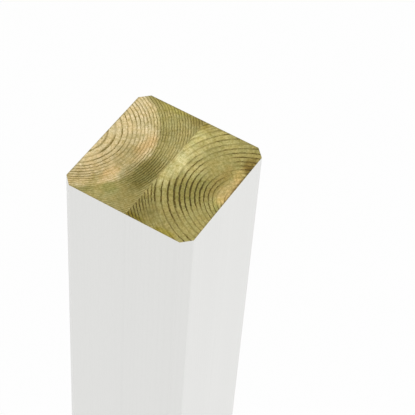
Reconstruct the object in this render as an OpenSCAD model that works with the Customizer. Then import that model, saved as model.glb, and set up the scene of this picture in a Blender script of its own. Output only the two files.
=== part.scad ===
// Square newel post, face-laminated from two planed boards and sawn square at both ends.
// Origin: centre of the bottom end, on the surface that the post stands on. +Z runs up the post.
// The glue line is a plane of constant Y. The front board lies on its -Y side, the rear board on +Y.

/* [Post] */
// Width of the post, along X
post_w = 90; // [60:1:150]
// Length of the post, end to end
post_h = 1280; // [400:10:3000]

/* [Boards] */
// Thickness of the front board, from the glue line to the front face
front_board_t = 44; // [25:1:75]
// Thickness of the rear board, from the glue line to the rear face
rear_board_t = 46; // [25:1:75]

/* [Arrises] */
// Leg of the 45 degree chamfer along the four long edges
chamfer = 6; // [1:0.5:15]

/* [Hidden] */
half_w = post_w / 2;
post_d = front_board_t + rear_board_t;
front_y = -post_d / 2;
rear_y = post_d / 2;
glue_y = front_y + front_board_t;
white_paint = [0.90, 0.90, 0.88];

// Section of one board, from the glue line out to its outer face at face_y. The corners on the
// glue line are square, and the two on the outer face carry the post's chamfers.
module board_section(face_y) {
    toward_glue = sign(glue_y - face_y);
    shoulder_y = face_y + toward_glue * chamfer;
    polygon([
        [-half_w, glue_y],
        [-half_w, shoulder_y],
        [-half_w + chamfer, face_y],
        [half_w - chamfer, face_y],
        [half_w, shoulder_y],
        [half_w, glue_y]
    ]);
}

// One board over the full length of the post, standing on Z = 0.
module board(face_y) {
    linear_extrude(height = post_h) board_section(face_y);
}

module front_board() {
    color(white_paint) board(front_y);
}

module rear_board() {
    color(white_paint) board(rear_y);
}

front_board();
rear_board();
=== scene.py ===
# %% [markdown]
# # A painted newel post with bare sawn ends
#
# The post is two planed pine boards glued face to face. Its four sides are painted white, and its
# two ends are left as the saw cut them, so the end grain is the part that people look at.
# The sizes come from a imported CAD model, which is loaded first and never moved. Blender adds what
# the CAD model leaves out: the growth rings, the thin skin of paint, the light and the camera.

# %% Load the frame
import math

import bpy
import numpy as np
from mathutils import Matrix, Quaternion, Vector


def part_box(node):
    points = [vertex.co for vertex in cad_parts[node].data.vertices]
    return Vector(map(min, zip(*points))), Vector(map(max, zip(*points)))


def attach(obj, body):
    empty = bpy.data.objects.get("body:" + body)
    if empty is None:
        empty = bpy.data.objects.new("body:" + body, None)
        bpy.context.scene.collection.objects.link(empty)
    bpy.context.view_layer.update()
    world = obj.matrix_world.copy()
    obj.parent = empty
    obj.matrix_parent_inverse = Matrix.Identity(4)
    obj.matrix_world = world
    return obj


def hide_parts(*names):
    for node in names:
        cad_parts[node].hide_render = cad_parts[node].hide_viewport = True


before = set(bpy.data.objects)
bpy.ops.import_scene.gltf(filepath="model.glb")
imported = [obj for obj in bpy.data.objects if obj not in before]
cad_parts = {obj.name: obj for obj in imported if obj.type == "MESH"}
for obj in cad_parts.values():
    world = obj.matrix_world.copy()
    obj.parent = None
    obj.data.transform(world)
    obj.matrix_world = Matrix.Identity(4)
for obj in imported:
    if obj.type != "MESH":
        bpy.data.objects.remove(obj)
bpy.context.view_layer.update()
front_low, front_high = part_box("front_board")
rear_low, rear_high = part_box("rear_board")
MM = 0.001
POST_W = front_high.x - front_low.x
POST_D = rear_high.y - front_low.y
POST_H = front_high.z - front_low.z
GLUE_Y = front_high.y
TOP = Vector((0, 0, front_high.z))
print(f"post {POST_W / MM:.0f} x {POST_D / MM:.0f} x {POST_H / MM:.0f} mm")
print(f"glue line at y = {GLUE_Y / MM:.1f} mm")

# %% [markdown]
# ## Reading the chamfer from the frame
#
# Each long edge of the post is planed off at 45 degrees. A bounding box doesn't show a chamfer,
# but the points of the CAD mesh do: the point of the front face that lies furthest out in X
# is where the chamfer starts, so its distance from the post's side is the chamfer's leg.

# %% Measure the chamfer
front_points = [v.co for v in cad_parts["front_board"].data.vertices]
face_edge_x = max(p.x for p in front_points if p.y < front_low.y + 0.01 * MM)
CHAMFER = front_high.x - face_edge_x
print(f"chamfer leg {CHAMFER / MM:.2f} mm")

# %% [markdown]
# ## The camera
#
# The camera stands close to the top of the post and looks down on one corner. A long lens keeps
# the sides nearly parallel. It is placed from the post's top end, aimed at a point beside the
# centre of that end, and then rolled by a few degrees, as a hand-held camera is.

# %% Place the camera
LENS_MM = 139.7
CAMERA_FROM_TOP = Vector((-0.5525, -0.3289, 0.7251))
AIM_FROM_TOP = Vector((-0.0132, -0.0383, 0))
ROLL = math.radians(4.56)

camera_data = bpy.data.cameras.new("camera")
camera_data.lens = LENS_MM
camera_data.sensor_width = 36
camera_data.clip_end = 50
camera = bpy.data.objects.new("camera", camera_data)
camera.location = TOP + CAMERA_FROM_TOP
looking = (AIM_FROM_TOP - CAMERA_FROM_TOP).to_track_quat("-Z", "Y")
camera.rotation_mode = "QUATERNION"
camera.rotation_quaternion = looking @ Quaternion((0, 0, 1), ROLL)
bpy.context.scene.collection.objects.link(camera)
bpy.context.scene.camera = camera
print(f"camera {(AIM_FROM_TOP - CAMERA_FROM_TOP).length:.2f} m from its aim")

# %% [markdown]
# ## Writing node trees as formulas
#
# A pattern such as growth rings is a formula of the place in the wood. In a node tree, each step
# of a formula is a Math node with wires between, which is slow to read in code. The small class
# below lets the script write `x * x + y * y` and adds those nodes and wires itself. It works in
# a shader tree and in a Geometry Nodes tree, because both have the same Math node.

# %% Helpers for node trees
def connect(tree, value, socket):
    """Wires value to socket if it comes from another node, and otherwise writes it there."""
    if isinstance(value, Term):
        value = value.socket
    if isinstance(value, bpy.types.NodeSocket):
        tree.links.new(value, socket)
    else:
        socket.default_value = value


class Term:
    """A number that varies over the wood. Arithmetic on Terms adds Math nodes to their tree."""

    def __init__(self, tree, socket):
        self.tree = tree
        self.socket = socket

    def math(self, operation, *others, first=None, clamp=False):
        node = self.tree.nodes.new("ShaderNodeMath")
        node.operation = operation
        node.use_clamp = clamp
        values = (self, *others) if first is None else (first, self)
        for value, socket in zip(values, node.inputs):
            connect(self.tree, value, socket)
        return Term(self.tree, node.outputs[0])

    def __add__(self, other):
        return self.math("ADD", other)

    def __sub__(self, other):
        return self.math("SUBTRACT", other)

    def __rsub__(self, other):
        return self.math("SUBTRACT", first=other)

    def __mul__(self, other):
        return self.math("MULTIPLY", other)

    def __truediv__(self, other):
        return self.math("DIVIDE", other)

    __radd__ = __add__
    __rmul__ = __mul__

    def ramp(self, start, end, low=0.0, high=1.0):
        """A smooth step: low up to start, high from end on."""
        node = self.tree.nodes.new("ShaderNodeMapRange")
        node.interpolation_type = "SMOOTHSTEP"
        for value, socket in zip((self, start, end, low, high), node.inputs):
            connect(self.tree, value, socket)
        return Term(self.tree, node.outputs["Result"])


def split(tree, vector):
    """The X, Y and Z of a vector, as Terms."""
    node = tree.nodes.new("ShaderNodeSeparateXYZ")
    connect(tree, vector, node.inputs[0])
    return [Term(tree, s) for s in node.outputs]


def joined(tree, x, y, z):
    """A vector from three numbers."""
    node = tree.nodes.new("ShaderNodeCombineXYZ")
    for value, socket in zip((x, y, z), node.inputs):
        connect(tree, value, socket)
    return node.outputs[0]


def noise(tree, vector, scale, detail=2.0, roughness=0.5):
    """Soft random blotches, from -0.5 to 0.5, with scale blotches to each unit of vector."""
    node = tree.nodes.new("ShaderNodeTexNoise")
    connect(tree, vector, node.inputs["Vector"])
    node.inputs["Scale"].default_value = scale
    node.inputs["Detail"].default_value = detail
    node.inputs["Roughness"].default_value = roughness
    return Term(tree, node.outputs[0]) - 0.5


def chance(tree, number):
    """A random value from 0 to 1 that stays the same for the same number."""
    node = tree.nodes.new("ShaderNodeTexWhiteNoise")
    node.noise_dimensions = "1D"
    connect(tree, number, node.inputs["W"])
    return Term(tree, node.outputs["Value"])


def new_group(name, kind, inputs, outputs):
    """A node group with named sockets. Returns it, its inputs by name, and its output node."""
    group = bpy.data.node_groups.new(name, kind)
    for label, (socket_kind, value) in inputs.items():
        made = group.interface.new_socket(label, in_out="INPUT", socket_type=socket_kind)
        if value is not None:
            made.default_value = value
    for label, socket_kind in outputs.items():
        group.interface.new_socket(label, in_out="OUTPUT", socket_type=socket_kind)
    start = group.nodes.new("NodeGroupInput")
    end = group.nodes.new("NodeGroupOutput")
    return group, {s.name: Term(group, s) for s in start.outputs if s.name}, end


def use_group(tree, group, values):
    """Places a node group in a tree. Returns its outputs as Terms by name."""
    kind = "ShaderNodeGroup" if group.bl_idname == "ShaderNodeTree" else "GeometryNodeGroup"
    node = tree.nodes.new(kind)
    node.node_tree = group
    for label, value in values.items():
        connect(tree, value, node.inputs[label])
    return {s.name: Term(tree, s) for s in node.outputs}


NUMBER = "NodeSocketFloat"
VECTOR = "NodeSocketVector"
COLOUR = "NodeSocketColor"
print("helpers ready")

# %% [markdown]
# ## Growth rings
#
# A tree adds one ring a year round its pith. Each ring starts with pale, quick spring wood and
# ends in a dark, dense line of late wood that stops sharply. A board is a straight cut through
# all that, so its end shows arcs round a pith that may lie outside it, and its faces show the
# same rings as long streaks.
#
# So the rings are worked out in 3-D, as a field that fills the wood: count the rings from the
# pith to a point, and the part of the count after the decimal point says how far through that
# year's ring the point lies. A slow noise bends the arcs, and stretching that noise along the
# post keeps the grain straight. The pith leans by a few millimetres for each metre of height.
#
# The rings aren't evenly spaced. "Tightening" changes the spacing steadily, up to the distance
# from the pith called "Steady Beyond". Past that it stays as it is, unless "Tighter Beyond" adds
# more rings to each millimetre.
#
# A tree rarely grows the same on all sides, so the centre of each ring drifts a little towards
# +X as the rings get wider. For a ring of radius r that drifts by d times r, solving
# (x - d r)^2 + y^2 = r^2 for r gives the radius that the recipe uses.
#
# The same recipe goes into a shader group, which colours the wood, and into a Geometry Nodes
# group, which carves it, so that colour and relief agree.

# %% The growth ring recipe
RING_INPUTS = {
    "Position": (VECTOR, None),
    "Pith X": (NUMBER, 0.0),
    "Pith Y": (NUMBER, 0.0),
    "Lean X": (NUMBER, 0.0),
    "Lean Y": (NUMBER, 0.0),
    "Drift": (NUMBER, 0.0),
    "Rings per mm": (NUMBER, 0.3),
    "Tightening": (NUMBER, 0.0),
    "Steady Beyond": (NUMBER, 100.0),
    "Tighter Beyond": (NUMBER, 0.0),
    "First Ring": (NUMBER, 0.0),
    "Waver": (NUMBER, 1.0),
    "Seed": (NUMBER, 0.0),
}
RING_OUTPUTS = {
    "Latewood": NUMBER,
    "Ring Chance": NUMBER,
    "Radius": NUMBER,
    "Across X": NUMBER,
    "Across Y": NUMBER,
}
GRAIN_STRETCH = 1 / 14


def growth_rings(name, kind):
    """The ring field as a node group. Inside it, lengths are in millimetres from the axis."""
    group, given, end = new_group(name, kind, RING_INPUTS, RING_OUTPUTS)
    x, y, z = [axis / MM for axis in split(group, given["Position"])]
    below_top = z - POST_H / MM
    across_x = x - given["Pith X"] - given["Lean X"] * below_top * MM
    across_y = y - given["Pith Y"] - given["Lean Y"] * below_top * MM
    grain = joined(group, x + given["Seed"], y, z * GRAIN_STRETCH)
    bends = noise(group, grain, 0.035, detail=1.0) * given["Waver"] * 2
    ripples = noise(group, grain, 0.35, detail=4.0, roughness=0.65) * 1.8
    drift = given["Drift"]
    kept = 1 - drift * drift
    reach = (across_x * across_x + across_y * across_y * kept).math("SQRT")
    radius = (reach - across_x * drift) / kept
    grown = radius + bends + ripples
    past = (grown - given["Steady Beyond"]).math("MAXIMUM", 0.0)
    extra = (grown * grown - past * past) * given["Tightening"]
    outer = past * given["Tighter Beyond"]
    count = grown * given["Rings per mm"] + extra + outer + given["First Ring"]
    ring = count.math("FLOOR")
    through = count - ring
    luck = chance(group, ring + given["Seed"])
    darkening = through.ramp(luck * 0.30 + 0.42, 0.86)
    latewood = darkening * through.ramp(0.93, 1.0, 1.0, 0.0)
    found = (latewood, luck, radius, across_x, across_y)
    for value, label in zip(found, RING_OUTPUTS):
        connect(group, value, end.inputs[label])
    return group


ring_shader = growth_rings("Growth rings", "ShaderNodeTree")
ring_shape = growth_rings("Growth rings as relief", "GeometryNodeTree")
print(f"ring recipe: {len(ring_shader.nodes)} nodes in each group")

# %% [markdown]
# ## Two boards from two logs
#
# The boards were sawn from different logs and lie with their piths outward, so the two sets of
# arcs meet back to back at the glue line. The rear board's pith lay about 15 mm behind its rear
# face, and its rings get finer towards the glue line. The front board's lay 9 mm in front of its
# front face. Its rings get wider on the way out, until they turn fine in the two corners by the
# glue line.

# %% Where each board sat in its log
REAR_RINGS = {
    "Pith X": -8.0,
    "Pith Y": 60.5,
    "Lean X": 5.0,
    "Lean Y": 3.0,
    "Drift": 0.13,
    "Rings per mm": -0.094,
    "Tightening": 0.00715,
    "Steady Beyond": 51.0,
    "Tighter Beyond": 0.0,
    "First Ring": 0.09,
    "Waver": 0.5,
    "Seed": 3.0,
}
FRONT_RINGS = {
    "Pith X": 1.0,
    "Pith Y": -54.0,
    "Lean X": -6.0,
    "Lean Y": -4.0,
    "Drift": 0.12,
    "Rings per mm": 0.45,
    "Tightening": -0.002,
    "Steady Beyond": 56.0,
    "Tighter Beyond": 0.27,
    "First Ring": -0.05,
    "Waver": 0.9,
    "Seed": 41.0,
}
for label, rings in (("rear", REAR_RINGS), ("front", FRONT_RINGS)):
    steady = rings["Steady Beyond"]
    for radius in (20, 40, 65):
        per_mm = rings["Rings per mm"] + 2 * rings["Tightening"] * min(radius, steady)
        if radius > steady:
            per_mm += rings["Tighter Beyond"]
        print(f"{label} board, {radius} mm from its pith: a ring every {1 / per_mm:.1f} mm")

# %% [markdown]
# ## The colour of the end grain
#
# The wood was pressure treated. The preservative soaks into the outer sapwood and turns it olive
# green, but hardly enters the inner heartwood, which stays tan. The border follows the rings,
# so it is a ramp on the distance from the pith. Late wood is darker than spring wood, fine rays
# run outward from the pith, and each cell is an open tube end, which gives a fine speckle. The
# glue shows as a thin yellow line, and the saw bruised the outermost millimetre a little darker.
#
# One shader group makes this for both boards, with the colours and the border as its inputs.

# %% The end grain group
def srgb(red, green, blue):
    """A screen colour, 0 to 255, as the linear colour that a shader takes."""
    def linear(value):
        share = value / 255
        return share / 12.92 if share <= 0.04045 else ((share + 0.055) / 1.055) ** 2.4
    return (linear(red), linear(green), linear(blue), 1.0)


END_GRAIN_INPUTS = RING_INPUTS | {
    "Heart Radius": (NUMBER, 44.0),
    "Heart Border": (NUMBER, 3.0),
    "Heart": (COLOUR, (0.6, 0.5, 0.3, 1)),
    "Sap": (COLOUR, (0.35, 0.3, 0.11, 1)),
    "Late Tint": (COLOUR, (0.5, 0.45, 0.25, 1)),
    "Warm Tint": (COLOUR, (1.08, 0.97, 0.84, 1)),
    "Ring Strength": (NUMBER, 1.0),
}
END_GRAIN_OUTPUTS = {"Color": COLOUR, "Roughness": NUMBER, "Height": NUMBER}
GLUE_YELLOW = srgb(196, 176, 118)
BRUISE_BROWN = srgb(96, 86, 62)


def mixed(tree, amount, start, end, blend="MIX"):
    """A colour between start and end, or start blended with end by a Mix node's other modes."""
    node = tree.nodes.new("ShaderNodeMix")
    node.data_type = "RGBA"
    node.blend_type = blend
    for value, label in ((amount, "Factor_Float"), (start, "A_Color"), (end, "B_Color")):
        socket = next(s for s in node.inputs if s.identifier == label)
        connect(tree, value, socket)
    found = next(s for s in node.outputs if s.identifier == "Result_Color")
    return Term(tree, found)


def grey(tree, value):
    """A colour with the same value in its three channels."""
    return joined(tree, value, value, value)


def shading(tree, shade):
    """A tint that turns a colour yellower where shade is under 1, and paler where it is over 1."""
    return joined(tree, shade, shade, 1 + (shade - 1) * 1.6)


def end_grain_group():
    """Colour, roughness and fine height of bare sawn end grain."""
    group, given, end = new_group(
        "Pine end grain", "ShaderNodeTree", END_GRAIN_INPUTS, END_GRAIN_OUTPUTS
    )
    rings = use_group(group, ring_shader, {label: given[label] for label in RING_INPUTS})
    place = split(group, given["Position"])
    x, y, z = [axis / MM for axis in place]
    wood = joined(group, x, y, z)
    heart_reach = rings["Radius"] + noise(group, wood, 0.09, detail=4.0) * 6
    is_sap = heart_reach.ramp(given["Heart Radius"] - given["Heart Border"],
                              given["Heart Radius"] + given["Heart Border"])
    base = mixed(group, is_sap, given["Heart"], given["Sap"])
    clouds = noise(group, wood, 0.07, detail=3.0, roughness=0.6)
    mottle = noise(group, wood, 0.55, detail=3.0, roughness=0.7)
    cells = noise(group, wood, 3.2, detail=2.0, roughness=0.7)
    turn = rings["Across Y"].math("ARCTAN2", rings["Across X"])
    out = rings["Radius"]
    broad_rays = noise(group, joined(group, turn * 24, out * 0.07, z), 1.0, detail=2.0)
    fine_rays = noise(group, joined(group, turn * 60, out * 0.12, z), 1.0, detail=2.0)
    strokes = noise(group, joined(group, turn * 13, out * 1.5, z), 1.0, detail=3.0, roughness=0.6)
    broken = 1 + mottle * 3.0 + broad_rays * 2.0 + strokes * 3.0
    strength = (rings["Ring Chance"] * 0.8 + 0.5) * broken * given["Ring Strength"]
    late = rings["Latewood"] * strength
    glue = (y - GLUE_Y / MM).math("ABSOLUTE").ramp(0.05, 0.2, 1.0, 0.0)
    patchy = clouds * 0.3 + mottle * 1.2 + broad_rays * 0.5
    shade = 1 + patchy + strokes * 0.9 + cells * 0.7 + fine_rays * 0.4
    lit = mixed(group, 1.0, base, shading(group, shade), blend="MULTIPLY")
    warmth = noise(group, wood, 0.16, detail=3.0, roughness=0.65).ramp(-0.16, 0.16)
    hued = mixed(group, warmth, lit, given["Warm Tint"], blend="MULTIPLY")
    ringed = mixed(group, late.math("ADD", 0.0, clamp=True), hued, given["Late Tint"], "MULTIPLY")
    glued = mixed(group, glue * 0.5, ringed, GLUE_YELLOW)
    to_side = POST_W / 2 / MM - x.math("ABSOLUTE")
    to_face = POST_D / 2 / MM - y.math("ABSOLUTE")
    bruised = to_side.math("MINIMUM", to_face) + mottle * 1.5
    edged = mixed(group, bruised.ramp(0.3, 1.1, 0.30, 0.0), glued, BRUISE_BROWN)
    connect(group, edged, end.inputs["Color"])
    connect(group, 0.78 + cells * 0.2 - late * 0.2, end.inputs["Roughness"])
    height = cells * 0.6 + mottle * 0.6 + strokes * 1.0 + fine_rays * 0.4 + late * 0.4
    connect(group, height, end.inputs["Height"])
    return group


end_grain = end_grain_group()
print(f"end grain group: {len(end_grain.nodes)} nodes")

# %% [markdown]
# ## Stains and pale patches
#
# The preservative doesn't soak in evenly. Here and there a patch stays pale or turns darker, or
# its ring lines fade. Each patch is a soft oval spot with its own centre and reach, and noise
# breaks its edge. The spots follow no rule, so they are given one by one, in millimetres from the
# centre of the post. A stain is a centre, a reach and a tint, where a tint over 1 is paler. A
# change to the ring lines is a centre, a reach and a strength, and under 0 the lines fade.

# %% The spot group
SPOT_INPUTS = {
    "Position": (VECTOR, None),
    "Centre": (VECTOR, (0, 0, 0)),
    "Reach": (VECTOR, (10, 10, 10)),
}


def spot_group():
    """A mask that is 1 inside a soft, ragged ellipse."""
    group, given, end = new_group("Spot", "ShaderNodeTree", SPOT_INPUTS, {"Inside": NUMBER})
    x, y, z = [axis / MM for axis in split(group, given["Position"])]
    middle_x, middle_y, _ = split(group, given["Centre"])
    reach_x, reach_y, _ = split(group, given["Reach"])
    off_x = (x - middle_x) / reach_x
    off_y = (y - middle_y) / reach_y
    away = (off_x * off_x + off_y * off_y).math("SQRT")
    ragged = away + noise(group, joined(group, x, y, z), 0.12, detail=4.0) * 0.8
    connect(group, ragged.ramp(0.45, 1.25, 1.0, 0.0), end.inputs["Inside"])
    return group


spot = spot_group()
print("spot group ready")

# %% [markdown]
# ## Bare timber for each board
#
# Each board gets a material of its own, because it has its own rings, colours and patches, but
# both are put together by one function. The Principled shader stays in the material itself.
# Only the values that vary over the surface come from the groups.

# %% Put a board's material together
def new_material(name):
    """A Principled material. Returns it, its tree, its shader and the Object coordinates."""
    material = bpy.data.materials.new(name)
    material.use_nodes = True
    tree = material.node_tree
    tree.nodes.clear()
    shader = tree.nodes.new("ShaderNodeBsdfPrincipled")
    output = tree.nodes.new("ShaderNodeOutputMaterial")
    tree.links.new(shader.outputs["BSDF"], output.inputs["Surface"])
    place = tree.nodes.new("ShaderNodeTexCoord").outputs["Object"]
    return material, tree, shader, place


def add_bump(tree, shader, height, distance):
    """Feeds a height, in units of distance metres, to the shader's normal."""
    bump = tree.nodes.new("ShaderNodeBump")
    bump.inputs["Strength"].default_value = 1.0
    bump.inputs["Distance"].default_value = distance
    connect(tree, height, bump.inputs["Height"])
    connect(tree, bump.outputs["Normal"], shader.inputs["Normal"])


def in_spot(tree, place, centre, reach):
    """How far inside a spot each point is."""
    values = {"Position": place, "Centre": (*centre, 0), "Reach": (*reach, 1)}
    return use_group(tree, spot, values)["Inside"]


def timber_material(name, rings, looks, stains, lines):
    """Bare pine for one board: rings, colours, stains, and where its ring lines fade or darken."""
    material, tree, shader, place = new_material(name)
    strength = looks["Ring Strength"]
    for centre, reach, change in lines:
        strength = (in_spot(tree, place, centre, reach) * change + 1) * strength
    values = {"Position": place} | rings | looks | {"Ring Strength": strength}
    grain = use_group(tree, end_grain, values)
    colour = grain["Color"]
    for centre, reach, tint in stains:
        colour = mixed(tree, in_spot(tree, place, centre, reach), colour, (*tint, 1), "MULTIPLY")
    connect(tree, colour, shader.inputs["Base Color"])
    connect(tree, grain["Roughness"], shader.inputs["Roughness"])
    shader.inputs["Specular IOR Level"].default_value = 0.14
    add_bump(tree, shader, grain["Height"], 0.08 * MM)
    print(f"{name}: {len(stains)} stains, {len(lines)} places with fainter or darker lines")
    return material


# %% [markdown]
# ### The rear board's colours
#
# Most of this board is pale heartwood, in a wide arc from its rear face. A well soaked patch of
# sapwood at the glue line is the darkest place, and the ring lines are strong there.

# %% Rear board's timber
REAR_LOOKS = {
    "Heart Radius": 48.2,
    "Heart Border": 2.0,
    "Heart": srgb(213, 197, 150),
    "Sap": srgb(163, 154, 99),
    "Late Tint": (0.30, 0.27, 0.11, 1),
    "Warm Tint": (1.05, 0.98, 0.88, 1),
    "Ring Strength": 0.85,
}
REAR_STAINS = [
    ((-12, 8), (15, 9), (0.61, 0.61, 0.46)),
    ((-16, 17), (9, 3), (0.66, 0.68, 0.60)),
    ((-40, 24), (7, 6), (1.06, 1.04, 0.98)),
    ((-34, 29), (9, 4), (0.80, 0.82, 0.70)),
    ((-33, 18), (5, 6), (0.84, 0.90, 0.76)),
    ((-34, 5), (14, 7), (0.86, 0.84, 0.78)),
    ((-40, 42), (12, 6), (0.80, 0.78, 0.70)),
    ((-6, 23), (11, 9), (0.72, 0.72, 0.62)),
    ((-20, 34), (18, 12), (0.86, 0.83, 0.78)),
    ((-24, 24), (8, 5), (1.02, 0.92, 0.82)),
    ((6, 18), (14, 5), (0.99, 0.88, 0.78)),
    ((44, 20), (4, 18), (0.96, 0.97, 0.74)),
    ((43, 3), (5, 5), (0.78, 0.76, 0.64)),
    ((20, 5), (20, 7), (1.17, 1.17, 1.22)),
    ((3, 26), (12, 9), (0.87, 0.86, 0.80)),
    ((28, 24), (7, 6), (0.88, 0.90, 0.86)),
    ((36, 20), (12, 12), (1.14, 1.16, 1.14)),
    ((22, 38), (16, 8), (1.07, 1.06, 1.10)),
    ((-17, 42), (8, 5), (1.10, 1.10, 1.12)),
]
REAR_LINES = [
    ((-4, 37), (16, 2.2), 1.6),
    ((-3, 42), (15, 3), -0.3),
    ((-33, 36), (6, 6), 0.8),
    ((26, 32), (8, 10), 1.0),
    ((-14, 23), (18, 7), -0.6),
    ((-36, 18), (9, 10), -0.6),
    ((-34, 6), (12, 7), -0.7),
    ((30, 14), (16, 14), 0.4),
    ((-6, 8), (15, 9), 1.6),
    ((14, 30), (14, 12), -0.35),
]
rear_timber = timber_material("pine_rear", REAR_RINGS, REAR_LOOKS, REAR_STAINS, REAR_LINES)

# %% [markdown]
# ### The front board's colours
#
# This board is nearly all olive sapwood, with a small tan heart at its front face. A pale band
# lies along the glue line. The ring lines are dark on the left of the middle and faint on the
# right of it.

# %% Front board's timber
FRONT_LOOKS = {
    "Heart Radius": 16.5,
    "Heart Border": 2.5,
    "Heart": srgb(196, 174, 114),
    "Sap": srgb(163, 154, 94),
    "Late Tint": (0.22, 0.175, 0.02, 1),
    "Warm Tint": (1.05, 0.98, 0.89, 1),
    "Ring Strength": 1.0,
}
FRONT_STAINS = [
    ((-8, -22), (16, 12), (0.82, 0.84, 0.72)),
    ((-38, -5), (16, 12), (0.72, 0.70, 0.62)),
    ((-36, -22), (12, 12), (0.88, 0.87, 0.86)),
    ((2, -5), (18, 7), (1.44, 1.48, 1.80)),
    ((42, -3), (3, 2.5), (0.72, 0.68, 0.48)),
    ((20, -7), (18, 8), (1.26, 1.29, 1.46)),
    ((38, -16), (8, 14), (1.20, 1.22, 1.30)),
    ((12, -13), (18, 8), (1.14, 1.15, 1.22)),
    ((32, -3), (13, 5), (1.34, 1.36, 1.44)),
    ((6, -18), (7, 8), (1.24, 1.26, 1.44)),
    ((30, -42), (7, 5), (0.70, 0.61, 0.46)),
    ((25, -44), (4, 3), (0.62, 0.58, 0.42)),
    ((-10, -44), (4, 3), (0.84, 0.90, 0.84)),
    ((7, -34), (18, 4), (0.91, 0.83, 0.74)),
    ((-7, -41), (6, 3), (1.20, 1.22, 1.18)),
    ((20, -41), (7, 4.5), (1.28, 1.17, 1.16)),
    ((5, -38), (7, 5), (0.90, 0.93, 0.90)),
    ((-44, -6), (3.5, 9), (0.84, 0.80, 0.40)),
    ((-44, -28), (3.5, 8), (0.92, 0.90, 0.50)),
    ((9, -45), (18, 1.7), (0.50, 0.46, 0.38)),
]
FRONT_LINES = [
    ((-12, -21), (14, 13), 1.6),
    ((-22, -5), (9, 5), 0.8),
    ((-37, -4), (11, 5), 0.9),
    ((-33, -15), (7, 9), -0.5),
    ((19, -26), (13, 12), -0.85),
    ((6, -5), (20, 6), -0.9),
    ((32, -9), (14, 9), -0.6),
    ((-40, -22), (8, 16), -0.6),
    ((-28, -38), (14, 9), -0.55),
    ((8, -40), (18, 6), -0.75),
    ((40, -28), (6, 12), -0.4),
]
front_timber = timber_material("pine_front", FRONT_RINGS, FRONT_LOOKS, FRONT_STAINS, FRONT_LINES)

# %% [markdown]
# ## The boards
#
# A board is a long solid whose cross section is a rectangle with two corners planed off. Its
# shape follows a rule, so Geometry Nodes make it: a fine grid is laid out as the section, then
# extruded to the top end, and a flipped copy closes the bottom end. The grid must be finer than
# the late wood lines, because the relief of the rings is carved into its points: a saw tears
# soft spring wood a little deeper than hard late wood. All carving goes inwards, so the board
# never grows past its CAD solid. Its sides stay back by the thickness of the paint.

# %% The tree that makes a board
SKIN = 0.2 * MM
END_PITCH = 0.34 * MM
RING_RELIEF = 0.10 * MM
SAW_MARKS = 0.03 * MM
BOARD_INPUTS = {
    "Width": (NUMBER, 0.09),
    "Thickness": (NUMBER, 0.045),
    "Length": (NUMBER, 1.0),
    "Chamfer": (NUMBER, 0.006),
    "Glue Line Y": (NUMBER, 0.0),
    "Side": (NUMBER, 1.0),
    "Pitch": (NUMBER, 0.0005),
    "Ring Relief": (NUMBER, 0.0001),
    "Saw Marks": (NUMBER, 0.00005),
}


def node(tree, kind, values=None, **settings):
    """Adds a node, sets its options, and fills or wires its inputs by name."""
    made = tree.nodes.new(kind)
    for name, value in settings.items():
        setattr(made, name, value)
    for label, value in (values or {}).items():
        connect(tree, value, made.inputs[label])
    return made


def board_tree(name, rings, material):
    """A Geometry Nodes tree for one board, closed at both ends, with its rings carved in relief."""
    outputs = {"Geometry": "NodeSocketGeometry"}
    tree, given, end = new_group(name, "GeometryNodeTree", BOARD_INPUTS, outputs)
    columns = (given["Width"] / given["Pitch"]).math("ROUND") + 1
    rows = (given["Thickness"] / given["Pitch"]).math("ROUND") + 1
    sheet = node(tree, "GeometryNodeMeshGrid", {
        "Size X": given["Width"], "Size Y": given["Thickness"],
        "Vertices X": columns, "Vertices Y": rows,
    })
    grid_x, grid_y, _ = split(tree, node(tree, "GeometryNodeInputPosition").outputs[0])
    depth = given["Thickness"] * 0.5 + grid_y * given["Side"]
    planed = (depth - given["Thickness"] + given["Chamfer"]).math("MAXIMUM", 0.0)
    narrowed = (given["Width"] - planed * 2) / given["Width"]
    board_y = grid_y + given["Glue Line Y"] + given["Side"] * given["Thickness"] * 0.5
    bottom = node(tree, "GeometryNodeSetPosition", {
        "Geometry": sheet.outputs["Mesh"],
        "Position": joined(tree, grid_x * narrowed, board_y, 0.0),
    })
    walls = node(tree, "GeometryNodeExtrudeMesh", {
        "Mesh": bottom.outputs[0], "Offset": joined(tree, 0.0, 0.0, given["Length"]),
        "Individual": False,
    })
    closing = node(tree, "GeometryNodeFlipFaces", {"Mesh": bottom.outputs[0]})
    both = node(tree, "GeometryNodeJoinGeometry")
    tree.links.new(walls.outputs["Mesh"], both.inputs[0])
    tree.links.new(closing.outputs["Mesh"], both.inputs[0])
    solid = node(tree, "GeometryNodeMergeByDistance", {
        "Geometry": both.outputs[0], "Distance": 0.01 * MM,
    })
    place = node(tree, "GeometryNodeInputPosition").outputs[0]
    carved = use_group(tree, ring_shape, {"Position": place} | rings)
    x, y, z = split(tree, place)
    is_top = z.math("GREATER_THAN", given["Length"] * 0.5)
    torn = (1 - carved["Latewood"]) * given["Ring Relief"]
    saw_arc = noise(tree, joined(tree, x * 0.12 + y * 0.8, y * 0.05, is_top), 900.0, detail=1.0)
    fibres = noise(tree, place, 900.0, detail=1.0)
    marks = (saw_arc + fibres + 1.0) * given["Saw Marks"]
    inwards = (torn + marks) * (1 - is_top * 2)
    relief = node(tree, "GeometryNodeSetPosition", {
        "Geometry": solid.outputs[0], "Offset": joined(tree, 0.0, 0.0, inwards),
    })
    real = node(tree, "GeometryNodeRealizeInstances", {"Geometry": relief.outputs[0]})
    dressed = node(tree, "GeometryNodeSetMaterial", {
        "Geometry": real.outputs[0], "Material": material,
    })
    tree.links.new(dressed.outputs[0], end.inputs["Geometry"])
    return tree


print(f"end grid pitch {END_PITCH / MM:.2f} mm")
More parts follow.
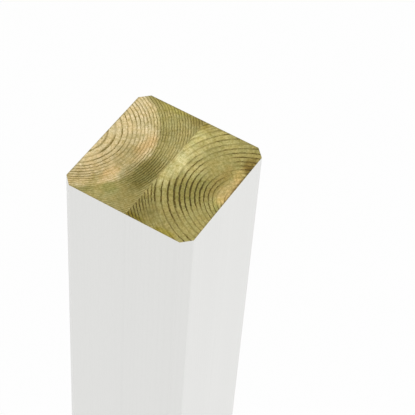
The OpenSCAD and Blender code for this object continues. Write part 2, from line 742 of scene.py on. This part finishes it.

# %% [markdown]
# ## From tree to plain mesh
#
# A modifier's inputs are known by identifiers such as Socket_3 and not by their names, so a
# helper looks each one up. The evaluated result is then copied into a plain mesh, and the
# modifier goes, so that the piece depends on no node tree.

# %% Run a tree and keep its mesh
def make_mesh(name, tree, values, start=None):
    """Runs a tree on the mesh start, or on an empty one. Returns the result as a plain object."""
    mesh = start or bpy.data.meshes.new(name)
    piece = bpy.data.objects.new(name, mesh)
    bpy.context.scene.collection.objects.link(piece)
    modifier = piece.modifiers.new("shape", "NODES")
    modifier.node_group = tree
    for item in tree.interface.items_tree:
        if item.in_out == "INPUT" and item.name in values:
            modifier[item.identifier] = values[item.name]
    depsgraph = bpy.context.evaluated_depsgraph_get()
    result = bpy.data.meshes.new_from_object(piece.evaluated_get(depsgraph))
    result.name = name
    piece.modifiers.remove(modifier)
    piece.data = result
    result.shade_smooth()
    result.set_sharp_from_angle(angle=math.radians(30))
    return piece


def leg_inside(leg, inset):
    """The leg of a 45 degree chamfer on an outline that lies inset inside the first one."""
    return leg - inset * (2 - math.sqrt(2))


def measure(piece):
    """Prints a piece's box and its triangles."""
    points = np.array([v.co for v in piece.data.vertices])
    size = (points.max(0) - points.min(0)) / MM
    triangles = sum(len(face.vertices) - 2 for face in piece.data.polygons)
    print(f"{piece.name}: {size[0]:.2f} x {size[1]:.2f} x {size[2]:.2f} mm, {triangles} triangles")


# %% [markdown]
# ## A map for each board
#
# A map says where each face of a piece lies in one square picture of its colours. On a board only
# the two ends are seen, so the ends share nearly the whole picture, and the hidden sides are
# squeezed into a strip.

# %% Lay out the baked picture
def corner_facts(mesh):
    """Each corner's point and normal, and each face's first corner and number of corners."""
    points = np.empty(len(mesh.vertices) * 3)
    facing = np.empty(len(mesh.polygons) * 3)
    corners = np.empty(len(mesh.loops), dtype=np.int32)
    counts = np.empty(len(mesh.polygons), dtype=np.int32)
    mesh.vertices.foreach_get("co", points)
    mesh.polygons.foreach_get("normal", facing)
    mesh.loops.foreach_get("vertex_index", corners)
    mesh.polygons.foreach_get("loop_total", counts)
    starts = np.concatenate([[0], np.cumsum(counts)[:-1]])
    corner_points = points.reshape(-1, 3)[corners]
    corner_facing = np.repeat(facing.reshape(-1, 3), counts, axis=0)
    return corner_points, corner_facing, starts, counts


def bearing(x, y, starts, counts):
    """The turn round the axis, from 0 to 1, kept in one piece on faces that cross the seam."""
    turned = np.arctan2(y, x) / (2 * math.pi) + 0.5
    highest = np.repeat(np.maximum.reduceat(turned, starts), counts)
    return np.where(highest - turned > 0.5, turned + 1, turned)


def keep_map(mesh, u, v):
    """Stores the map under the name that the export looks for."""
    layer = mesh.uv_layers.new(name="OFBake")
    layer.data.foreach_set("uv", np.stack([u, v], axis=1).ravel())


def map_board(piece, low, high):
    """The top end over the bottom end, and the sides in a strip under both."""
    points, facing, starts, counts = corner_facts(piece.data)
    x, y, z = points.T
    across = (x - low.x) / (high.x - low.x)
    deep = (y - low.y) / (high.y - low.y)
    around = bearing(x, y - (low.y + high.y) / 2, starts, counts)
    up, down = facing[:, 2] > 0.5, facing[:, 2] < -0.5
    u = np.select([up, down], [0.02 + 0.96 * across, 0.98 - 0.96 * across], 0.02 + 0.94 * around)
    v = np.select([up, down], [0.55 + 0.43 * deep, 0.10 + 0.43 * deep], 0.01 + 0.07 * z / POST_H)
    keep_map(piece.data, u, v)
    print(f"{piece.name}: {up.sum() + down.sum()} corners on the ends, {len(u)} in all")


# %% [markdown]
# ## Both boards
#
# One function makes both boards. Each takes its sizes from its own CAD box, less the thickness of
# the paint on the painted sides. A chamfer that lies further in has a slightly shorter leg.

# %% Make both boards
def make_board(name, low, high, side, rings, material):
    """One timber board. Its outer face looks along +Y if side is 1, and along -Y if it is -1."""
    tree = board_tree(f"{name} tree", rings, material)
    board = make_mesh(name, tree, {
        "Width": high.x - low.x - 2 * SKIN,
        "Thickness": high.y - low.y - SKIN,
        "Length": high.z - low.z,
        "Chamfer": leg_inside(CHAMFER, SKIN),
        "Glue Line Y": GLUE_Y,
        "Side": float(side),
        "Pitch": END_PITCH,
        "Ring Relief": RING_RELIEF,
        "Saw Marks": SAW_MARKS,
    })
    map_board(board, low, high)
    return board


front_board = make_board("timber_front", front_low, front_high, -1, FRONT_RINGS, front_timber)
rear_board = make_board("timber_rear", rear_low, rear_high, 1, REAR_RINGS, rear_timber)
measure(front_board)
measure(rear_board)

# %% [markdown]
# ## The skin of paint
#
# The paint covers the sides and the chamfers, but not the ends, because the post was painted
# first and sawn to length after. At each sawn end the skin shows its edge as a thin pale line.
# A material alone can't show that edge, so the skin is a thin closed shell round the boards.
#
# Its outline is the chamfered square with each edge rounded a little, as paint does. One
# function gives that outline at any distance inside the post's faces, and the shell is built
# from rings of points: up the outside, over the rim, down the inside and back to the start.

# %% The outline of the post
ARRIS = 0.5 * MM
ARC_STEPS = 3
FACE_STEPS = 72
CHAMFER_STEPS = 6
CORNERS = 8
TURN = math.radians(360 / CORNERS)


def straight_run(steps, bunched):
    """Shares of the way along a side, without its ends. Bunched ones lie closer mid-way."""
    shares = []
    for i in range(1, steps):
        u = 2 * i / steps - 1
        s = u * (0.45 + 0.55 * u * u) if bunched else u
        shares.append((s + 1) / 2)
    return shares


def outline(inset):
    """Points anticlockwise round the post, on an outline that lies inset inside its faces."""
    half_w, half_d = POST_W / 2 - inset, POST_D / 2 - inset
    leg = leg_inside(CHAMFER, inset)
    near_x, near_y = half_w - leg, half_d - leg
    radius = max(ARRIS - inset, 0.05 * MM)
    back = radius * math.tan(TURN / 2)
    corners = [Vector(corner) for corner in (
        (half_w, near_y), (near_x, half_d), (-near_x, half_d), (-half_w, near_y),
        (-half_w, -near_y), (-near_x, -half_d), (near_x, -half_d), (half_w, -near_y),
    )]
    points = []
    for i, corner in enumerate(corners):
        before, after = corners[i - 1], corners[(i + 1) % CORNERS]
        start = corner + (before - corner).normalized() * back
        end = corner + (after - corner).normalized() * back
        for step in range(ARC_STEPS + 1):
            t = step / ARC_STEPS
            points.append(start.lerp(corner, t).lerp(corner.lerp(end, t), t))
        is_chamfer = i % 2 == 0
        steps = CHAMFER_STEPS if is_chamfer else FACE_STEPS
        next_start = after + (corner - after).normalized() * back
        for share in straight_run(steps, bunched=not is_chamfer):
            points.append(end.lerp(next_start, share))
    return points


print(f"outline: {len(outline(0))} points")

# %% Build the shell
RIM_RADIUS = 0.12 * MM
RIM_STEPS = 3
WALL_ROWS = 96


def wall_heights():
    """Heights up the outside, closer together near the two sawn ends."""
    heights = []
    for i in range(WALL_ROWS + 1):
        u = 2 * i / WALL_ROWS - 1
        bunched = math.sin(u * math.pi / 2)
        heights.append(POST_H / 2 + bunched * (POST_H / 2 - RIM_RADIUS))
    return heights


def shell_sections():
    """(inset, height, is on the rim) of each ring of points, from the bottom rim to the top one."""
    sections = [(0, z, False) for z in wall_heights()]
    for step in range(1, RIM_STEPS + 1):
        angle = math.pi / 2 * step / RIM_STEPS
        inset = RIM_RADIUS * (1 - math.cos(angle))
        rise = RIM_RADIUS * (math.sin(angle) - 1)
        sections.append((inset, POST_H + rise, True))
        sections.insert(0, (inset, -rise, True))
    return [(SKIN, 0, True)] + sections + [(SKIN, POST_H, True)]


def shell_mesh(name):
    """The closed shell of paint, with attributes that mark its outer wall and its rims."""
    sections = shell_sections()
    rings = [[(p.x, p.y, z) for p in outline(inset)] for inset, z, _ in sections]
    around, rows = len(rings[0]), len(rings)
    faces = []
    for row in range(rows):
        above = (row + 1) % rows
        for i in range(around):
            j = (i + 1) % around
            here, over = row * around, above * around
            faces.append((here + i, here + j, over + j, over + i))
    mesh = bpy.data.meshes.new(name)
    mesh.from_pydata([p for ring in rings for p in ring], [], faces)
    on_rim = [float(rim) for _, _, rim in sections for _ in range(around)]
    mesh.attributes.new("rim", "FLOAT", "POINT").data.foreach_set("value", on_rim)
    return mesh


paint_base = shell_mesh("paint")
print(f"paint shell: {len(paint_base.polygons)} faces")

# %% [markdown]
# ## What shows through the paint
#
# Paint is thin, so it repeats what lies under it. The glue line shows as a faint groove up the
# two faces that it crosses, the planer left long shallow waves, and at the sawn ends the saw
# broke small nicks out of the brittle edge. A Geometry Nodes tree pushes the points of the shell
# inwards by those amounts, so they are real shape and catch the light.

# %% Dress the shell
PAINT_INPUTS = {
    "Geometry": ("NodeSocketGeometry", None),
    "Groove Depth": (NUMBER, 0.0001),
    "Groove Width": (NUMBER, 0.001),
    "Wave Depth": (NUMBER, 0.00005),
    "Nick Depth": (NUMBER, 0.0003),
}


def paint_tree(material):
    """Presses the glue line, the planer's waves and the nicks at the sawn ends into the shell."""
    outputs = {"Geometry": "NodeSocketGeometry"}
    tree, given, end = new_group("Paint over timber", "GeometryNodeTree", PAINT_INPUTS, outputs)
    place = node(tree, "GeometryNodeInputPosition").outputs[0]
    facing = node(tree, "GeometryNodeInputNormal").outputs[0]
    rim = node(tree, "GeometryNodeInputNamedAttribute", {"Name": "rim"}, data_type="FLOAT")
    on_rim = Term(tree, rim.outputs[0])
    x, y, z = split(tree, place)
    normal_x, _, _ = split(tree, facing)
    from_glue = (y - GLUE_Y).math("ABSOLUTE")
    side_face = normal_x.math("ABSOLUTE").ramp(0.9, 1.0)
    groove = from_glue.ramp(0.0, given["Groove Width"], 1.0, 0.0) * side_face
    waves = noise(tree, joined(tree, x / MM, y / MM, z / MM * 0.02), 0.22, detail=1.0) + 0.5
    pressed = groove * given["Groove Depth"] + waves * given["Wave Depth"]
    push = node(tree, "ShaderNodeVectorMath", operation="SCALE")
    connect(tree, facing, push.inputs[0])
    connect(tree, (pressed * (1 - on_rim)) * -1, push.inputs["Scale"])
    pushed = node(tree, "GeometryNodeSetPosition", {
        "Geometry": given["Geometry"], "Offset": push.outputs[0],
    })
    middle = POST_H / 2
    end_sign = (z - middle).math("SIGN")
    near_end = (z - middle).math("ABSOLUTE").ramp(middle - 0.6 * MM, middle - 0.1 * MM)
    chips = noise(tree, joined(tree, x / MM, y / MM, end_sign), 0.5, detail=2.0)
    nick = chips.ramp(0.14, 0.30) * near_end * given["Nick Depth"]
    nicked = node(tree, "GeometryNodeSetPosition", {
        "Geometry": pushed.outputs[0], "Offset": joined(tree, 0.0, 0.0, nick * end_sign * -1),
    })
    real = node(tree, "GeometryNodeRealizeInstances", {"Geometry": nicked.outputs[0]})
    dressed = node(tree, "GeometryNodeSetMaterial", {
        "Geometry": real.outputs[0], "Material": material,
    })
    tree.links.new(dressed.outputs[0], end.inputs["Geometry"])
    return tree


# %% [markdown]
# ## White paint
#
# The paint is a satin white. Its colour hardly varies: long faint streaks follow the grain, and
# the glue line is a shade darker. Close up the grain stands under it as fine ridges, and a
# roller has left a soft stipple. At the very edge of the sawn end the film is broken and dusty.

# %% White paint's material
PAINT_WHITE = (0.835, 0.835, 0.817, 1)
EDGE_DUST = srgb(214, 205, 176)


def paint_material():
    """Satin white paint with the grain of both boards under it."""
    material, tree, shader, place = new_material("white_paint")
    x, y, z = split(tree, place)
    rear = use_group(tree, ring_shader, {"Position": place} | REAR_RINGS)["Latewood"]
    front = use_group(tree, ring_shader, {"Position": place} | FRONT_RINGS)["Latewood"]
    is_rear = y.math("GREATER_THAN", GLUE_Y)
    grain = rear * is_rear + front * (1 - is_rear)
    along = joined(tree, x / MM, y / MM, z / MM * 0.006)
    streaks = noise(tree, along, 0.35, detail=3.0, roughness=0.65)
    broad = noise(tree, along, 0.04, detail=1.0)
    stipple = noise(tree, place, 700.0, detail=2.0)
    from_glue = (y - GLUE_Y).math("ABSOLUTE") / MM
    glue = from_glue.ramp(0.3, 1.1, 1.0, 0.0)
    below_end = ((z - POST_H / 2).math("ABSOLUTE") - POST_H / 2) / MM * -1
    cut_edge = below_end.ramp(0.02, 0.10, 1.0, 0.0)
    shade = 1 + streaks * 0.02 + broad * 0.03 - grain * 0.008 - glue * 0.01
    plain = mixed(tree, 1.0, PAINT_WHITE, grey(tree, shade), blend="MULTIPLY")
    dusty = mixed(tree, cut_edge * 0.6, plain, EDGE_DUST)
    connect(tree, dusty, shader.inputs["Base Color"])
    connect(tree, 0.42 + stipple * 0.1 + streaks * 0.1 + cut_edge * 0.3, shader.inputs["Roughness"])
    shader.inputs["Specular IOR Level"].default_value = 0.35
    add_bump(tree, shader, grain * 0.6 + stipple * 0.4 + streaks * 1.2, 0.05 * MM)
    return material


white_paint = paint_material()
paint = make_mesh("paint_skin", paint_tree(white_paint), {
    "Groove Depth": 0.04 * MM,
    "Groove Width": 0.9 * MM,
    "Wave Depth": 0.05 * MM,
    "Nick Depth": 0.35 * MM,
}, start=paint_base)
measure(paint)

# %% [markdown]
# ## A map for the paint
#
# The paint needs a map of its own for its baked picture. The outside is what people see, so it is
# unrolled over more than half of the picture. The hidden inside gets a narrower part, and the cut
# edges at the top and bottom ends become two thin strips, above and below both.

# %% Lay out the paint's picture
def map_shell(piece):
    """The outside unrolled beside the inside, with the cut edges above and below them."""
    points, facing, starts, counts = corner_facts(piece.data)
    x, y, z = points.T
    around = bearing(x, y, starts, counts)
    outside = facing[:, 0] * x + facing[:, 1] * y > 0
    on_edge = np.abs(facing[:, 2]) > 0.2
    is_top = z > POST_H / 2
    furthest = np.maximum(np.abs(x), np.abs(y))
    depth_in = np.clip((POST_W / 2 - furthest) / SKIN, 0, 1)
    u = np.where(outside, 0.02 + 0.58 * around, 0.98 - 0.30 * around)
    v = 0.05 + 0.90 * z / POST_H
    u = np.where(on_edge, 0.02 + 0.94 * around, u)
    v = np.where(on_edge & is_top, 0.965 + 0.02 * depth_in, v)
    v = np.where(on_edge & ~is_top, 0.035 - 0.02 * depth_in, v)
    keep_map(piece.data, u, v)
    print(f"{piece.name}: {on_edge.sum()} corners on the cut edges")


map_shell(paint)

# %% [markdown]
# ## Floor
#
# The post stands on a plain white floor. To a camera ray the floor and the sky beyond it are
# nearly pure white, which a Light Path node decides, so that the background stays white without
# more light on the post. The floor keeps a share of real shading, and so the post's shadow.

# %% Floor
FLOOR_REACH = 8.0
FLOOR_GLOW = 0.90
FLOOR_WHITE = (0.86, 0.86, 0.86, 1)
PURE_WHITE = (1, 1, 1, 1)


def white_for_lenses(tree):
    """A Term that is 1 for rays from the camera, mirrors and glass, and 0 for the rest."""
    path = tree.nodes.new("ShaderNodeLightPath")
    seen = Term(tree, path.outputs["Is Camera Ray"])
    seen = seen.math("MAXIMUM", path.outputs["Is Glossy Ray"])
    return seen.math("MAXIMUM", path.outputs["Is Transmission Ray"])


def floor_material():
    """White board that looks white to the camera and keeps a soft shadow."""
    material, tree, shader, _ = new_material("studio_floor")
    shader.inputs["Base Color"].default_value = FLOOR_WHITE
    shader.inputs["Roughness"].default_value = 0.9
    shader.inputs["Specular IOR Level"].default_value = 0.0
    glow = node(tree, "ShaderNodeEmission", {"Color": PURE_WHITE, "Strength": 1.0})
    blend = tree.nodes.new("ShaderNodeMixShader")
    connect(tree, white_for_lenses(tree) * FLOOR_GLOW, blend.inputs[0])
    tree.links.new(shader.outputs[0], blend.inputs[1])
    tree.links.new(glow.outputs[0], blend.inputs[2])
    output = next(n for n in tree.nodes if n.bl_idname == "ShaderNodeOutputMaterial")
    tree.links.new(blend.outputs[0], output.inputs["Surface"])
    return material


floor_signs = [(-1, -1), (1, -1), (1, 1), (-1, 1)]
floor_corners = [(x * FLOOR_REACH, y * FLOOR_REACH, 0) for x, y in floor_signs]
floor_mesh = bpy.data.meshes.new("floor")
floor_mesh.from_pydata(floor_corners, [], [(0, 1, 2, 3)])
floor_mesh.materials.append(floor_material())
floor = bpy.data.objects.new("floor", floor_mesh)
bpy.context.scene.collection.objects.link(floor)
print(f"floor {2 * FLOOR_REACH:.0f} m square")

# %% [markdown]
# ## Light
#
# The light is mostly an even white sky, at a level where a colour comes out about as it is
# written. One broad lamp stands high on the right. It makes the right face a little brighter than
# the left one, and it hardly reaches the chamfer between them. It also slants across the top
# end, which brings out the relief. A second, softer lamp behind keeps the far sides from going
# flat. Each lamp is the direction it stands in, its strength, and its softness in degrees.

# %% Light
SKY_LEVEL = 0.89
LAMPS = {
    "key": ((0.55, -0.45, 0.70), 0.34, 20),
    "back": ((0.45, 0.50, 0.74), 0.30, 40),
}

world = bpy.data.worlds.new("studio")
bpy.context.scene.world = world
world.use_nodes = True
sky = world.node_tree
sky.nodes.clear()
even = node(sky, "ShaderNodeBackground", {"Color": PURE_WHITE, "Strength": SKY_LEVEL})
white = node(sky, "ShaderNodeBackground", {"Color": PURE_WHITE, "Strength": 1.0})
choice = sky.nodes.new("ShaderNodeMixShader")
connect(sky, white_for_lenses(sky), choice.inputs[0])
sky.links.new(even.outputs[0], choice.inputs[1])
sky.links.new(white.outputs[0], choice.inputs[2])
sky.links.new(choice.outputs[0], sky.nodes.new("ShaderNodeOutputWorld").inputs["Surface"])

for label, (direction, strength, softness) in LAMPS.items():
    lamp = bpy.data.lights.new(label, "SUN")
    lamp.energy = strength
    lamp.angle = math.radians(softness)
    holder = bpy.data.objects.new(label, lamp)
    holder.location = Vector(direction) * 4
    holder.rotation_euler = Vector(direction).to_track_quat("Z", "Y").to_euler()
    bpy.context.scene.collection.objects.link(holder)
bpy.context.scene.view_settings.view_transform = "Standard"
print(f"{len(LAMPS)} lamps and an even sky at {SKY_LEVEL}")

# %% [markdown]
# ## Hand the pieces over
#
# The two timber boards stand for their CAD nodes, and the paint rides with them.

# %% Ride and replace
for piece, cad_node in ((front_board, "front_board"), (rear_board, "rear_board")):
    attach(piece, "root")
    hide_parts(cad_node)
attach(paint, "root")
